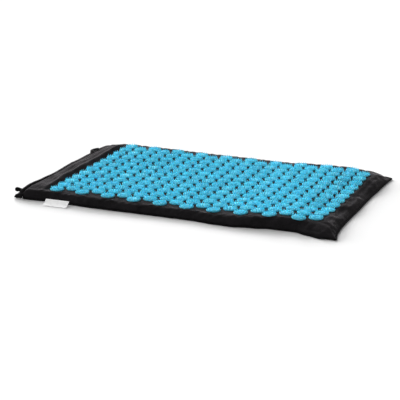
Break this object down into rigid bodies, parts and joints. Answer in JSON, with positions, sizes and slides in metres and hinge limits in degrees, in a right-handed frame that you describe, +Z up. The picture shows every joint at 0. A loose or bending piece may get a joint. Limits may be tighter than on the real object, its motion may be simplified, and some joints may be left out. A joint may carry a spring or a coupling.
{
  "type": "acupressure mat",
  "caption": "Flat foam mat in a zipped black cloth cover, topped with a close field of round blue discs full of short spikes, for lying or standing on.",
  "frame": {"origin": "middle of the mat's underside, in the plane that it rests on", "axes": "+X along the mat away from its zipped end, +Y across it away from the side with the label, +Z up out of the spiked face"},
  "size_m": [0.6761, 0.4549, 0.0221],
  "materials": {
    "cover_cotton": "matte",
    "binding": "matte",
    "foam": "matte",
    "disc_plastic": "satin",
    "zip_tape": "matte",
    "zip_teeth": "satin",
    "zip_metal": "satin",
    "pull_cord": "matte",
    "pull_rubber": "matte",
    "webbing": "matte",
    "label_ribbon": "satin"
  },
  "bodies": {
    "mat": {"cover_top_panel": "cover_cotton", "cover_bottom_panel": "cover_cotton", "seam_roll": "binding", "foam_core": "foam", "zip_flap": "cover_cotton", "zip_tape_upper": "zip_tape", "zip_tape_lower": "zip_tape", "zip_teeth_upper": "zip_teeth", "zip_teeth_lower": "zip_teeth", "zip_stop_near": "zip_metal", "zip_stop_far": "zip_metal", "hang_loop": "webbing", "side_label": "label_ribbon", "disc_column_01": "disc_plastic", "disc_column_02": "disc_plastic", "disc_column_03": "disc_plastic", "disc_column_04": "disc_plastic", "disc_column_05": "disc_plastic", "disc_column_06": "disc_plastic", "disc_column_07": "disc_plastic", "disc_column_08": "disc_plastic", "disc_column_09": "disc_plastic", "disc_column_10": "disc_plastic", "disc_column_11": "disc_plastic", "disc_column_12": "disc_plastic", "disc_column_13": "disc_plastic", "disc_column_14": "disc_plastic", "disc_column_15": "disc_plastic", "disc_column_16": "disc_plastic", "disc_column_17": "disc_plastic", "disc_column_18": "disc_plastic", "disc_column_19": "disc_plastic", "disc_column_20": "disc_plastic"},
    "slider": {"zip_slider": "zip_metal"},
    "pull": {"zip_pull_link": "zip_metal", "zip_pull_cord": "pull_cord", "zip_pull_knob": "pull_rubber"}
  },
  "joints": [
    {"name": "zip_slide", "type": "slide", "parent": "mat", "child": "slider", "axis": [0, 1, 0], "range_m": [0, 0.347]},
    {"name": "pull_swing", "type": "hinge", "parent": "slider", "child": "pull", "pos_m": [-0.31857, -0.1735, 0.0068], "axis": [0, 0, 1], "range_deg": [-65, 65]}
  ]
}
